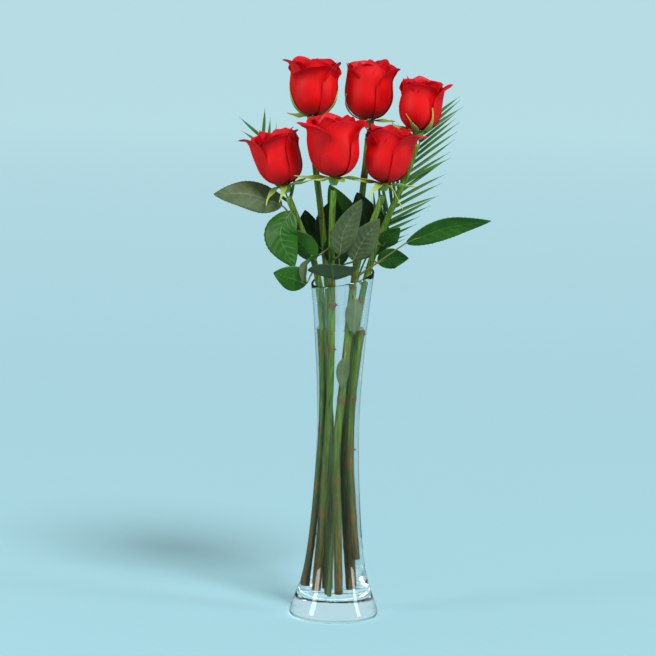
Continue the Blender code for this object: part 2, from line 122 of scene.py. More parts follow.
# --- Leaves: stem, joint height, base, middle, tip, side, half width, fold, side towards the front --
LEAVES = {
    "leaf_far_left": ("front_left", 372, (-57, -10, 386), (-88, -12, 396), (-120, -12, 395),
                      (0.1, 0.45, 0.9), 15, 12, "under"),
    "leaf_hanging_left": ("front_left", 380, (-48, -20, 382), (-58, -25, 361), (-44, -29, 331),
                          (-0.9, 0.2, -0.35), 17, 14, "upper"),
    "leaf_low_left": ("front_left", 326, (-33, -27, 316), (-47, -34, 322), (-63, -38, 327),
                      (0.2, -0.1, 0.97), 12, 10, "upper"),
    "leaf_dark_left": ("front_left", 334, (-25, -20, 337), (-37, -21, 352), (-52, -22, 366),
                       (0.62, -0.3, 0.7), 11, 12, "upper"),
    "leaf_curled": ("front_middle", 346, (-21, -32, 344), (-33, -38, 334), (-35, -41, 318),
                    (0.6, -0.6, 0.5), 8, 25, "under"),
    "leaf_over_rim": ("front_middle", 313, (-8, -30, 322), (-9, -45, 331), (-10, -61, 339),
                      (1, 0.05, 0), 23, 10, "under"),
    "leaf_front_upright": ("front_middle", 336, (-3, -33, 344), (1, -37, 368), (16, -38, 396),
                           (-0.85, -0.4, 0.3), 13, 14, "under"),
    "leaf_centre_right": ("front_right", 332, (10, -24, 338), (18, -28, 357), (33, -30, 378),
                          (-0.75, -0.2, 0.62), 13, 12, "under"),
    "leaf_right_upper": ("back_right", 347, (37, -6, 351), (43, -12, 360), (52, -18, 369),
                         (-0.5, -0.4, 0.75), 9, 12, "upper"),
    "leaf_right_lower": ("back_right", 334, (33, -3, 334), (46, -6, 340), (61, -9, 340),
                         (0.1, -0.4, 0.9), 11, 12, "upper"),
    "leaf_far_right": ("front_right", 322, (58, -18, 355), (95, -14, 370), (136, -6, 376),
                       (-0.1, -0.5, 0.86), 12, 10, "upper"),
    "leaf_inside_mouth": ("front_right", 306, (12, -19, 303), (12.5, -17.6, 287), (11, -15.4, 268),
                          (0.86, 0.5, 0), 9, -16, "under"),
    "leaf_in_water": ("front_right", 254, (4, -16.8, 247), (2.5, -16.0, 233), (2, -15.2, 218),
                      (0.98, 0.1, 0), 6, 12, "under"),
    "leaf_behind": ("back_middle", 345, (10, 27, 352), (0, 34, 375), (-14, 36, 402),
                    (0.8, 0.1, 0.3), 14, 12, "upper"),
}

# --- Leaflets at the back of the bunch, the rest of the leaf that leaf_behind belongs to, green painted dark as shade ---
SHADED_BACK_LEAVES = {
    "leaf_behind_a": ("back_middle", 338, (-6, 14, 346), (-12, 16, 366), (-8, 14, 392),
                      (0.9, 0.1, 0.2), 15, 12, "upper"),
    "leaf_behind_b": ("back_middle", 342, (16, 12, 350), (20, 12, 372), (12, 12, 398),
                      (0.9, 0.1, -0.2), 15, 12, "upper"),
    "leaf_behind_c": ("back_left", 334, (-16, 14, 340), (-30, 16, 356), (-36, 14, 380),
                      (0.8, 0.1, 0.5), 14, 12, "upper"),
    "leaf_behind_d": ("back_middle", 336, (22, 8, 340), (32, 8, 356), (34, 8, 382),
                      (0.9, 0.1, -0.1), 12, 12, "upper"),
    "leaf_behind_e": ("back_middle", 326, (-2, 8, 330), (-4, 4, 348), (6, 2, 368),
                      (0.9, 0.1, 0.1), 13, 12, "upper"),
}

# --- Palm fronds: rachis route, leaflet run as shares of it, leaflet length, pair count and lean ------
FRONDS = {
    "palm_frond_right": ([(-3.5, -4, 14.4), (-1.5, -2, 90), (0.5, 0, 165), (4.5, 3.6, 240),
                          (15, 9.5, 318), (42, 16, 376), (60, 27, 420), (79, 38, 470)],
                         (0.69, 1.0), 54, 20, 1.35),
    "palm_frond_left": ([(-5, 4, 14.5), (-5, 2.5, 90), (-5, 0.6, 165), (-9, -0.5, 240), (-20, 1, 318),
                         (-40, 10, 362), (-60, 22, 408), (-80, 27, 452)], (0.84, 1.0), 34, 7, 1.6),
}


# === Helpers ========================================================================================
def lerp_table(table, position):
    for (x0, y0), (x1, y1) in zip(table, table[1:]):
        if position <= x1:
            return y0 + (y1 - y0) * (position - x0) / (x1 - x0)
    return table[-1][1]


def smooth_table(table, count):
    """Even samples along a smooth curve through pairs of numbers."""
    path = smooth_path([Vector((a, b, 0)) for a, b in table], count)
    return [(place.x, place.y) for place in path]


def smooth_path(points, count):
    ends = [points[0] * 2 - points[1], *points, points[-1] * 2 - points[-2]]
    dense = []
    for a, b, c, d in zip(ends, ends[1:], ends[2:], ends[3:]):
        for step in range(24):
            t = step / 24
            dense.append(0.5 * (2 * b + (c - a) * t + (2 * a - 5 * b + 4 * c - d) * t * t
                                + (3 * b - a - 3 * c + d) * t * t * t))
    dense.append(points[-1])
    lengths = [0.0]
    for a, b in zip(dense, dense[1:]):
        lengths.append(lengths[-1] + (b - a).length)
    path = []
    index = 0
    for step in range(count):
        target = lengths[-1] * step / (count - 1)
        while index < len(dense) - 2 and lengths[index + 1] < target:
            index += 1
        share = (target - lengths[index]) / max(lengths[index + 1] - lengths[index], 1e-9)
        path.append(dense[index].lerp(dense[index + 1], share))
    return path


def point(values):
    return Vector(values) * MM


def smoothstep(value):
    value = min(max(value, 0.0), 1.0)
    return value * value * (3 - 2 * value)


class Shape:
    """Collects grids and faces, with an across and an along value for every vertex, into one mesh."""

    def __init__(self):
        self.places = []
        self.marks = []
        self.faces = []
        self.slots = []

    def add(self, place, across=0.0, along=0.0, extra=0.0):
        self.places.append(tuple(place))
        self.marks.append((across, along, extra))
        return len(self.places) - 1

    def face(self, corners, slot=0):
        self.faces.append(corners)
        self.slots.append(slot)

    def grid(self, rows, slot=0, closed=False):
        """Join rows of vertex numbers, each row round a ring if closed."""
        for low, high in zip(rows, rows[1:]):
            count = len(low)
            for k in range(count if closed else count - 1):
                after = (k + 1) % count
                self.face((low[k], low[after], high[after], high[k]), slot)

    def build(self, name, materials, matrix=None, thickness=None, levels=0):
        mesh = bpy.data.meshes.new(name)
        mesh.from_pydata(self.places, [], self.faces)
        for label, column in (("across", 0), ("along", 1), ("extra", 2)):
            layer = mesh.attributes.new(label, "FLOAT", "POINT")
            layer.data.foreach_set("value", [mark[column] for mark in self.marks])
        for material in materials:
            mesh.materials.append(material)
        mesh.polygons.foreach_set("material_index", self.slots)
        mesh.shade_smooth()
        item = bpy.data.objects.new(name, mesh)
        bpy.context.scene.collection.objects.link(item)
        if matrix:
            item.matrix_world = matrix
        if thickness:
            modifier = item.modifiers.new("Thickness", "SOLIDIFY")
            modifier.thickness = thickness * MM
            modifier.offset = 0.0
            if len(materials) > 1:
                modifier.material_offset = 1
        if levels:
            modifier = item.modifiers.new("Smooth", "SUBSURF")
            modifier.levels = levels
            modifier.render_levels = levels
        return item


def tube(shape, path, radii, sides, extra=None):
    """A closed tube along a path."""
    rings = []
    side = Vector((1, 0, 0))
    for index, place in enumerate(path):
        ahead = path[min(index + 1, len(path) - 1)]
        behind = path[max(index - 1, 0)]
        axis = (ahead - behind).normalized()
        side = (side - axis * side.dot(axis)).normalized()
        other = axis.cross(side)
        ring = []
        for k in range(sides):
            angle = 2 * math.pi * k / sides
            radius = radii[index]
            spot = place + (side * math.cos(angle) + other * math.sin(angle)) * radius
            mark = extra[index] if extra else 0
            ring.append(shape.add(spot, k / sides, index / (len(path) - 1), mark))
        rings.append(ring)
    shape.grid(rings, closed=True)
    shape.face(tuple(reversed(rings[0])))
    shape.face(tuple(rings[-1]))


# === Materials ======================================================================================
class Nodes:
    """A short way to wire a material."""

    def __init__(self, name):
        self.material = bpy.data.materials.new(name)
        self.material.use_nodes = True
        self.tree = self.material.node_tree
        self.shader = self.tree.nodes["Principled BSDF"]
        self.output = self.tree.nodes["Material Output"]

    def node(self, kind, **settings):
        item = self.tree.nodes.new("ShaderNode" + kind)
        for key, value in settings.items():
            setattr(item, key, value)
        return item

    def link(self, source, target):
        self.tree.links.new(source, target)

    def set(self, **values):
        for key, value in values.items():
            self.shader.inputs[key.replace("_", " ")].default_value = value

    def mark(self, label):
        return self.node("Attribute", attribute_name=label).outputs["Fac"]

    def math(self, operation, first, second=0.0, clamp=False):
        item = self.node("Math", operation=operation, use_clamp=clamp)
        for socket, value in zip(item.inputs, (first, second)):
            if isinstance(value, (int, float)):
                socket.default_value = value
            else:
                self.link(value, socket)
        return item.outputs[0]

    def ramp(self, source, stops):
        item = self.node("ValToRGB")
        while len(item.color_ramp.elements) < len(stops):
            item.color_ramp.elements.new(0.5)
        for element, (position, colour) in zip(item.color_ramp.elements, stops):
            element.position = position
            element.color = (*colour, 1)
        self.link(source, item.inputs[0])
        return item.outputs["Color"]

    def mix(self, factor, first, second, blend="MIX"):
        item = self.node("Mix", data_type="RGBA", blend_type=blend)
        sockets = (item.inputs[0], item.inputs[6], item.inputs[7])
        for socket, value in zip(sockets, (factor, first, second)):
            if isinstance(value, (int, float)):
                socket.default_value = value
            elif isinstance(value, tuple):
                socket.default_value = (*value, 1)
            else:
                self.link(value, socket)
        return item.outputs[2]

    def noise(self, scale, detail=3.0, stretch=None, vector=None):
        item = self.node("TexNoise")
        item.inputs["Scale"].default_value = scale
        item.inputs["Detail"].default_value = detail
        if vector is None:
            vector = self.node("TexCoord").outputs["Object"]
        if stretch:
            mapping = self.node("Mapping")
            mapping.inputs["Scale"].default_value = stretch
            self.link(vector, mapping.inputs["Vector"])
            vector = mapping.outputs["Vector"]
        self.link(vector, item.inputs["Vector"])
        return item.outputs["Fac"]

    def marks_vector(self):
        item = self.node("CombineXYZ")
        self.link(self.mark("across"), item.inputs[0])
        self.link(self.mark("along"), item.inputs[1])
        self.link(self.mark("extra"), item.inputs[2])
        return item.outputs[0]

    def bump(self, height, strength, distance):
        item = self.node("Bump")
        item.inputs["Strength"].default_value = strength
        item.inputs["Distance"].default_value = distance
        self.link(height, item.inputs["Height"])
        self.link(item.outputs[0], self.shader.inputs["Normal"])


def petal_material(name, painted_root_shade, bright, rim):
    """Velvety petal: painted shade at the root, deep in the bloom, bright across the blade, with fine veins
    and a darker margin.
    """
    made = Nodes(name)
    along = made.mark("along")
    veins = made.noise(1.0, 4.0, stretch=(34, 3.0, 3), vector=made.marks_vector())
    cloud = made.noise(70, 2.0)
    # The root of the petal, deep in the bloom, is painted dark as shade.
    base = made.ramp(along, [(0.0, painted_root_shade), (0.35, bright), (0.86, bright), (1.0, rim)])
    shade = made.ramp(veins, [(0.3, (0.88, 0.8, 0.8)), (0.7, (1.0, 1.0, 1.0))])
    colour = made.mix(1.0, base, shade, "MULTIPLY")
    tint = made.ramp(cloud, [(0.35, (0.86, 0.86, 0.86)), (0.65, (1.0, 1.0, 1.0))])
    colour = made.mix(1.0, colour, tint, "MULTIPLY")
    made.link(colour, made.shader.inputs["Base Color"])
    made.set(Roughness=0.48, Sheen_Weight=0.06, Sheen_Roughness=0.4, Sheen_Tint=(1, 0.2, 0.3, 1),
             Specular_IOR_Level=0.22, Subsurface_Weight=0.12, Subsurface_Radius=(0.006, 0.0012, 0.0012),
             Subsurface_Scale=0.5)
    made.bump(veins, 0.35, 0.0004)
    glow = made.node("BsdfTranslucent")
    made.link(colour, glow.inputs["Color"])
    blend = made.node("MixShader")
    blend.inputs[0].default_value = 0.16
    made.link(made.shader.outputs[0], blend.inputs[1])
    made.link(glow.outputs[0], blend.inputs[2])
    made.link(blend.outputs[0], made.output.inputs["Surface"])
    return made.material


def leaf_material(name, dark, light, vein, roughness, vein_strength):
    """Leaf blade with a midrib, slanting side veins and mottling, from its across and along marks."""
    made = Nodes(name)
    across = made.math("ABSOLUTE", made.mark("across"))
    along = made.mark("along")
    slant = made.math("SUBTRACT", along, made.math("MULTIPLY", across, VEIN_SLANT))
    wave = made.math("FRACT", made.math("MULTIPLY", slant, SIDE_VEINS))
    off_vein = made.math("ABSOLUTE", made.math("SUBTRACT", wave, 0.5))
    side_vein = made.math("SUBTRACT", 1.0, made.math("MULTIPLY", off_vein, 16.0), clamp=True)
    towards_rib = made.math("SUBTRACT", 1.0, made.math("MULTIPLY", across, 0.8))
    side_vein = made.math("MULTIPLY", side_vein, towards_rib)
    midrib = made.math("SUBTRACT", 1.0, made.math("MULTIPLY", across, 16.0), clamp=True)
    net = made.math("MAXIMUM", midrib, made.math("MULTIPLY", side_vein, 0.6))
    mottle = made.noise(160, 4.0)
    patch = made.noise(28, 2.0)
    base = made.mix(patch, dark, light)
    shade = made.ramp(mottle, [(0.3, (0.8, 0.8, 0.8)), (0.7, (1.08, 1.08, 1.05))])
    base = made.mix(1.0, base, shade, "MULTIPLY")
    colour = made.mix(made.math("MULTIPLY", net, vein_strength), base, vein)
    made.link(colour, made.shader.inputs["Base Color"])
    made.set(Roughness=roughness, Specular_IOR_Level=0.3)
    height = made.math("ADD", made.math("MULTIPLY", net, -0.8), made.math("MULTIPLY", mottle, 0.35))
    made.bump(height, 0.5, 0.0006)
    glow = made.node("BsdfTranslucent")
    made.link(colour, glow.inputs["Color"])
    blend = made.node("MixShader")
    blend.inputs[0].default_value = 0.12
    made.link(made.shader.outputs[0], blend.inputs[1])
    made.link(glow.outputs[0], blend.inputs[2])
    made.link(blend.outputs[0], made.output.inputs["Surface"])
    return made.material


def stem_material():
    """Green stem, browner towards its cut end, with pale streaks and brown scars."""
    made = Nodes("rose_stem_skin")
    along = made.mark("along")
    base = made.ramp(along, [(0.0, (0.055, 0.035, 0.008)), (0.22, (0.045, 0.065, 0.008)),
                             (0.5, (0.045, 0.10, 0.010)), (1.0, (0.10, 0.22, 0.025))])
    streak = made.noise(1.0, 3.0, stretch=(900, 900, 18))
    shade = made.ramp(streak, [(0.35, (0.4, 0.42, 0.4)), (0.65, (1.5, 1.45, 1.2))])
    colour = made.mix(1.0, base, shade, "MULTIPLY")
    blotch = made.noise(60, 2.0)
    brown = made.ramp(blotch, [(0.55, (0, 0, 0)), (0.75, (0.5, 0.5, 0.5))])
    colour = made.mix(brown, colour, (0.16, 0.06, 0.02))
    colour = made.mix(made.mark("extra"), colour, (0.10, 0.04, 0.012))
    made.link(colour, made.shader.inputs["Base Color"])
    made.set(Roughness=0.4, Specular_IOR_Level=0.3)
    made.bump(streak, 0.3, 0.0005)
    return made.material


def plain_green(name, root, tip, roughness, lines):
    """Sepal and palm green: a ramp along the blade under fine lengthwise lines."""
    made = Nodes(name)
    base = made.ramp(made.mark("along"), [(0.0, root), (1.0, tip)])
    streak = made.noise(1.0, 3.0, stretch=(lines, 1.5, 1), vector=made.marks_vector())
    shade = made.ramp(streak, [(0.3, (0.7, 0.7, 0.7)), (0.7, (1.1, 1.1, 1.05))])
    colour = made.mix(1.0, base, shade, "MULTIPLY")
    made.link(colour, made.shader.inputs["Base Color"])
    made.set(Roughness=roughness, Specular_IOR_Level=0.45)
    made.bump(streak, 0.3, 0.0004)
    return made.material


def clear_material(name, ior, colour):
    """Glass or water, which lets light through to what stands in it."""
    made = Nodes(name)
    made.set(Base_Color=(*colour, 1), Roughness=0.0, IOR=ior, Transmission_Weight=1.0)
    ripple = made.noise(45, 1.0)
    made.bump(ripple, 0.04, 0.0006)
    clear = made.node("BsdfTransparent")
    clear.inputs["Color"].default_value = (*colour, 1)
    ray = made.node("LightPath")
    blend = made.node("MixShader")
    made.link(ray.outputs["Is Shadow Ray"], blend.inputs[0])
    made.link(made.shader.outputs[0], blend.inputs[1])
    made.link(clear.outputs[0], blend.inputs[2])
    made.link(blend.outputs[0], made.output.inputs["Surface"])
    return made.material


def unseen_material():
    """The water's sides, which lie against the glass and bend no light of their own."""
    made = Nodes("water_side")
    clear = made.node("BsdfTransparent")
    made.link(clear.outputs[0], made.output.inputs["Surface"])
    return made.material


# === Vase and water =================================================================================
def build_vase(glass, wet_glass):
    outside = smooth_table([(r, h) for h, r in VASE_OUTSIDE], 120)
    inside = smooth_table([(r, h) for h, r in VASE_INSIDE], 120)
    outer_by_height = [(h, r) for r, h in outside]
    inner_by_height = [(h, r) for r, h in inside]
    low_inner = [(h, r) for h, r in inner_by_height if h < WATER_LEVEL - 1]
    shape = Shape()

    def rim_height(cos, sin):
        height = RIM_HEIGHT
        for _ in range(4):
            radius = lerp_table(outer_by_height, height) - 1
            height = RIM_HEIGHT + radius * (RIM_SLOPE[0] * cos + RIM_SLOPE[1] * sin)
        return height

    columns = []
    for k in range(VASE_SIDES):
        angle = 2 * math.pi * k / VASE_SIDES
        cos, sin = math.cos(angle), math.sin(angle)
        top = rim_height(cos, sin)
        half = (lerp_table(outer_by_height, top) - lerp_table(inner_by_height, top)) / 2
        shoulder = top - half
        outline = [(h, r, 0) for h, r in outer_by_height if h < RIM_BLEND]
        for step in range(1, 9):
            h = RIM_BLEND + (shoulder - RIM_BLEND) * step / 8
            outline.append((h, lerp_table(outer_by_height, h), 0))
        middle = lerp_table(outer_by_height, shoulder) - half
        for step in range(1, 6):
            turn = math.pi * step / 6
            outline.append((shoulder + half * math.sin(turn), middle + half * math.cos(turn), 0))
        for step in range(9):
            h = shoulder + (RIM_BLEND - shoulder) * step / 8
            outline.append((h, lerp_table(inner_by_height, h), 0))
        outline.append((WATER_LEVEL, lerp_table(inner_by_height, WATER_LEVEL), 0))
        outline += [(h, r, 1) for h, r in reversed(low_inner) if r > 0.6]
        columns.append([(cos, sin, h, r, wet) for h, r, wet in outline])
    rings = []
    for row in range(len(columns[0])):
        ring = []
        for column in columns:
            cos, sin, h, r, wet = column[row]
            ring.append(shape.add((cos * r * MM, sin * r * MM, h * MM), 0, 0, wet))
        rings.append(ring)
    for low, high in zip(rings, rings[1:]):
        wet = shape.marks[high[0]][2] > 0.5
        shape.grid([low, high], 1 if wet else 0, closed=True)
    foot = shape.add((0, 0, 0))
    floor = shape.add((0, 0, inner_by_height[0][0] * MM))
    for k in range(VASE_SIDES):
        after = (k + 1) % VASE_SIDES
        shape.face((rings[0][after], rings[0][k], foot), 0)
        shape.face((rings[-1][k], rings[-1][after], floor), 1)
    vase = shape.build("glass_vase", [glass, wet_glass])
    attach(vase, "root")
    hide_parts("vase")
    return inner_by_height


def build_water(inner_by_height, surface, side):
    """The water fills the vase to its level, WATER_GAP inside the glass, with a raised edge on top."""
    shape = Shape()
    rings = []
    levels = [h for h, r in inner_by_height if r > 0.6 and h < WATER_LEVEL - 1.5]
    outline = [(h + WATER_GAP, lerp_table(inner_by_height, h) - WATER_GAP) for h in levels]
    edge = lerp_table(inner_by_height, WATER_LEVEL) - WATER_GAP
    outline += [(WATER_LEVEL + 0.7, edge), (WATER_LEVEL + 0.25, edge - 0.8), (WATER_LEVEL, edge - 2.2)]
    for h, r in outline:
        rings.append([shape.add((math.cos(2 * math.pi * k / VASE_SIDES) * r * MM,
                                 math.sin(2 * math.pi * k / VASE_SIDES) * r * MM, h * MM))
                      for k in range(VASE_SIDES)])
    shape.grid(rings[:-2], 1, closed=True)
    shape.grid(rings[-3:], 0, closed=True)
    bottom = shape.add((0, 0, (inner_by_height[0][0] + WATER_GAP) * MM))
    top = shape.add((0, 0, WATER_LEVEL * MM))
    for k in range(VASE_SIDES):
        after = (k + 1) % VASE_SIDES
        shape.face((rings[0][after], rings[0][k], bottom), 1)
        shape.face((rings[-1][k], rings[-1][after], top), 0)
    water = shape.build("water", [surface, side])
    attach(water, "root")


# === Stems ==========================================================================================
END_SHORT = 0.012


def centreline(node, count):
    """The middle of a near-upright tube of the frame, read from level cuts through its mesh.

    The first and last cut lie END_SHORT of the height inside the tube, so the line ends short of it.
    """
    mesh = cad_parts[node].data
    low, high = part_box(node)
    path = []
    for index in range(count):
        level = low.z + (high.z - low.z) * (END_SHORT + (1 - 2 * END_SHORT) * index / (count - 1))
        cuts = []
        for edge in mesh.edges:
            a, b = (mesh.vertices[v].co for v in edge.vertices)
            if (a.z - level) * (b.z - level) < 0:
                cuts.append(a.lerp(b, (level - a.z) / (b.z - a.z)))
        xs = [cut.x for cut in cuts]
        ys = [cut.y for cut in cuts]
        path.append(Vector(((min(xs) + max(xs)) / 2, (min(ys) + max(ys)) / 2, level)))
    return path


STEM_RADIUS = (3.45, 2.85)
STEM_RINGS = 150


def build_stem(rose, material, seed):
    rng = random.Random(seed)
    coarse = centreline(rose + "_stem", 14)
    path = smooth_path(coarse, STEM_RINGS)
    scars = [rng.uniform(0.05, 0.95) for _ in range(5)]
    radii, extra = [], []
    for index, place in enumerate(path):
        share = index / (STEM_RINGS - 1)
        swell = sum(math.exp(-((share - scar) / 0.006) ** 2) for scar in scars)
        wander = noise.noise(place * 90 + Vector((seed, 0, 0)))
        radius = STEM_RADIUS[0] + (STEM_RADIUS[1] - STEM_RADIUS[0]) * share
        radii.append((radius + 0.35 * swell + 0.12 * wander) * MM)
        extra.append(min(swell, 1.0) * 0.85)
    shape = Shape()
    tube(shape, path, radii, 14, extra=extra)
    for scar in scars[:3]:
        index = min(max(int(scar * STEM_RINGS), 1), STEM_RINGS - 2)
        axis = (path[index + 1] - path[index - 1]).normalized()
        angle = rng.uniform(0, 2 * math.pi)
        out = Vector((math.cos(angle), math.sin(angle), 0))
        out = (out - axis * out.dot(axis)).normalized()
        start = path[index] + out * (radii[index] - 0.5 * MM)
        middle = start + out * 1.2 * MM - axis * 0.3 * MM
        thorn = [start, middle, start + out * 2.4 * MM - axis * 1.0 * MM]
        tube(shape, thorn, [1.1 * MM, 0.6 * MM, 0.08 * MM], 8, extra=[0.9] * 3)
    stem = shape.build(rose + "_green_stem", [material])
    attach(stem, "root")
    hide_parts(rose + "_stem")


# === Roses ==========================================================================================
def head_matrix(rose):
    base, axis, _ = HEADS[rose]
    tilt = UP.rotation_difference(Vector(axis).normalized())
    return Matrix.Translation(point(base)) @ tilt.to_matrix().to_4x4()


def around(azimuth, radius, height):
    angle = math.radians(azimuth)
    return Vector((math.sin(angle) * radius, -math.cos(angle) * radius, height))


def petal_column(length, lip, lip_length, inset, opening, size, rows):
    """Radius and height up one column of a petal."""
    radius, height = PETAL_ROOT
    fine = 80
    step = length / fine
    places = []
    for index in range(fine + 1):
        run = index * step
        curl = min(max((run - length + lip_length) / lip_length, 0), 1)
        body = lerp_table(BODY_TURN, run / PETAL_LENGTH)
        body += opening * smoothstep((run / PETAL_LENGTH - 0.2) / 0.4)
        turn = math.radians(body + (lip + 8) * curl ** 1.7)
        shift = inset / size
        places.append((max(radius - shift * math.cos(turn), 0.4) * size,
                       (height + shift * math.sin(turn)) * size))
        radius += math.sin(turn) * step
        height += math.cos(turn) * step
    return [places[round(fine * row / rows)] for row in range(rows + 1)]


PETAL_THICKNESS = 0.45
PETAL_COLUMNS = 18
PETAL_ROWS = 26


def add_petal(shape, rng, size, azimuth, inset, span, length, lip, lip_side, opening=0.0,
              lip_length=13.0, slope=1.0, ruffle=14.0):
    """One petal as a grid: its sides curl with lip_side, and slope lets neighbours overlap in a spiral."""
    phase = rng.uniform(0, 6.3)
    second = rng.uniform(0, 6.3)
    notch = rng.uniform(-0.25, 0.25)
    shade = rng.random()
    columns = []
    for column in range(PETAL_COLUMNS + 1):
        side = 2 * column / PETAL_COLUMNS - 1
        reach = PETAL_LENGTH * length * (1 - 0.17 * abs(side) ** 2.4 + 0.012 * math.sin(5 * side + second))
        lean = lip + (lip_side - lip) * abs(side - notch) ** 1.5
        lean += ruffle * (math.sin(3.1 * side + phase) + 0.5 * math.sin(7.3 * side + second))
        profile = petal_column(reach, lean, lip_length, inset + slope * side, opening, size, PETAL_ROWS)
        row_places = []
        for row, (radius, height) in enumerate(profile):
            along = row / PETAL_ROWS
            wide = 0.86 + 0.14 * smoothstep(along / 0.4) - 0.06 * smoothstep((along - 0.75) / 0.25)
            place = around(azimuth + side * span * wide, radius * MM, height * MM)
            wobble = noise.noise(place * 70 + Vector((shade * 40, second, phase)))
            place += around(azimuth + side * span, 1, 0) * wobble * 1.5 * MM * along
            row_places.append(shape.add(place, side, along, shade))
        columns.append(row_places)
    shape.grid(columns)


def finish_petals(shape, rose, name, material, nodes):
    item = shape.build(name, [material], head_matrix(rose), thickness=PETAL_THICKNESS, levels=1)
    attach(item, "root")
    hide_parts(*nodes)


def build_head(rose, material, seed):
    rng = random.Random(seed)
    size = HEADS[rose][2]
    for number, (azimuth, lip, lip_side, length, opening, span) in enumerate(OUTER_PETALS[rose], start=1):
        shape = Shape()
        lip_length = 18 if lip > 75 else 14
        add_petal(shape, rng, size, azimuth, 0.0, span, length, lip, lip_side, opening, lip_length)
        node = rose + "_petal_" + str(min(number, 2))
        finish_petals(shape, rose, f"{rose}_outer_petal_{number}", material, [node])
    shape = Shape()
    turn = rng.uniform(0, 72)
    for k in range(5):
        add_petal(shape, rng, size, turn + 72 * k, 3.4, 54, rng.uniform(0.93, 1.02), rng.uniform(20, 70),
                  rng.uniform(20, 60), opening=-1, lip_length=11)
    finish_petals(shape, rose, rose + "_middle_petals", material, [rose + "_petal_3", rose + "_petal_4"])
    shape = Shape()
    for k in range(5):
        add_petal(shape, rng, size, turn + 36 + 72 * k, 6.6, 56, rng.uniform(0.94, 1.0), rng.uniform(-5, 28),
                  rng.uniform(5, 30), opening=-4, lip_length=9, slope=1.2, ruffle=6)
    for k in range(4):
        add_petal(shape, rng, size, turn + 90 * k, 10.0, 66, rng.uniform(0.92, 0.97), rng.uniform(-10, 16),
                  10, opening=-8, lip_length=8, slope=1.5, ruffle=5)
    for k in range(3):
        add_petal(shape, rng, size, turn + 120 * k, 13.4, 80, 0.93, 0, 5, opening=-10, lip_length=6,
                  slope=1.6, ruffle=4)
    finish_petals(shape, rose, rose + "_inner_petals", material, [rose + "_heart"])


def sepal_stations(kind, length, size, count):
    if kind == "up":
        rows = 60
        profile = petal_column(PETAL_LENGTH, -8, 13, -SEPAL_CLEARANCE, 0, size, rows)
        stations = [(5.0, -1.2, 90)]
        for index in range(1, count + 1):
            run = 6 + (length - 6) * (index - 1) / (count - 1)
            row = round(rows * run / PETAL_LENGTH)
            stations.append((*profile[row], lerp_table(BODY_TURN, run / PETAL_LENGTH)))
        return stations
    radius, height = 4.6, -1.2
    first, last = SEPAL_TURN[kind]
    stations = [(radius, height, first)]
    for index in range(1, count + 1):
        turn = first + (last - first) * (index - 0.5) / count
        radius += math.sin(math.radians(turn)) * length / count
        height += math.cos(math.radians(turn)) * length / count
        stations.append((radius, height, turn))
    return stations


HIP_OUTLINE = [(0.1, 3.6), (0.3, 4.7), (1.2, 5.2), (3.0, 5.0), (5.0, 4.3), (6.6, 3.5), (7.8, 3.1)]
HIP_SIDES = 20
SEPAL_COLUMNS = 6
SEPAL_ROWS = 16
SEPAL_THICKNESS = 0.5


def build_calyx(rose, material, seed):
    rng = random.Random(seed)
    size = HEADS[rose][2]
    shape = Shape()
    rings = []
    for depth, radius in HIP_OUTLINE:
        rings.append([shape.add(around(360 * k / HIP_SIDES, radius * MM, -depth * MM), k / HIP_SIDES, 0.0)
                      for k in range(HIP_SIDES)])
    shape.grid(rings, closed=True)
    shape.face(tuple(rings[0]))
    shape.face(tuple(reversed(rings[-1])))
    hip = shape.build(rose + "_hip", [material], head_matrix(rose))
    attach(hip, "root")
    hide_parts(rose + "_calyx")
    shape = Shape()
    for azimuth, length, kind in SEPALS[rose]:
        twist = rng.uniform(-25, 25)
        roll_end = 0 if kind == "up" else math.radians(rng.uniform(35, 65)) * rng.choice((-1, 1))
        rows = []
        for index, (radius, height, turn) in enumerate(sepal_stations(kind, length, size, SEPAL_ROWS)):
            share = index / SEPAL_ROWS
            width = 3.1 * (0.75 + 0.5 * math.sin(math.pi * min(share * 1.6, 1)))
            width *= (1 - share) ** 0.75 + 0.04
            lean = math.radians(turn)
            swing = azimuth + twist * share * share
            centre = around(swing, radius * MM, height * MM)
            flat = around(swing + 90, 1, 0)
            face = around(swing, -math.cos(lean), math.sin(lean))
            roll = roll_end * smoothstep(share * 2)
            side = flat * math.cos(roll) + face * math.sin(roll)
            normal = face * math.cos(roll) - flat * math.sin(roll)
            row = []
            for column in range(SEPAL_COLUMNS + 1):
                across = 2 * column / SEPAL_COLUMNS - 1
                cup = 0.28 * width * across * across
                wave = 0.5 * math.sin(9 * share + azimuth) * across * share
                spot = centre + (side * across * width + normal * (cup + wave)) * MM
                row.append(shape.add(spot, across, share))
            rows.append(row)
        shape.grid(rows)
    sepals = shape.build(rose + "_sepals", [material], head_matrix(rose), thickness=SEPAL_THICKNESS,
                         levels=1)
    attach(sepals, "root")
    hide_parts(rose + "_calyx")


# === Leaves =========================================================================================
LEAF_COLUMNS = 16
LEAF_ROWS = 60
PETIOLE_ROWS = 14
LEAF_TEETH = 21
TOOTH_DEPTH = 0.055
LEAF_THICKNESS = 0.35


def stem_near(stem, height):
    path = centreline(stem + "_stem", 30)
    return min(path, key=lambda place: abs(place.z - height * MM))


def leaf_reach(share, half_width):
    """Half width with fine teeth that point to the tip."""
    smooth = half_width * math.sin(math.pi * share ** 0.75) ** 0.8
    tooth = (share * LEAF_TEETH) % 1.0
    return smooth * (1 + TOOTH_DEPTH * (tooth - 0.5))


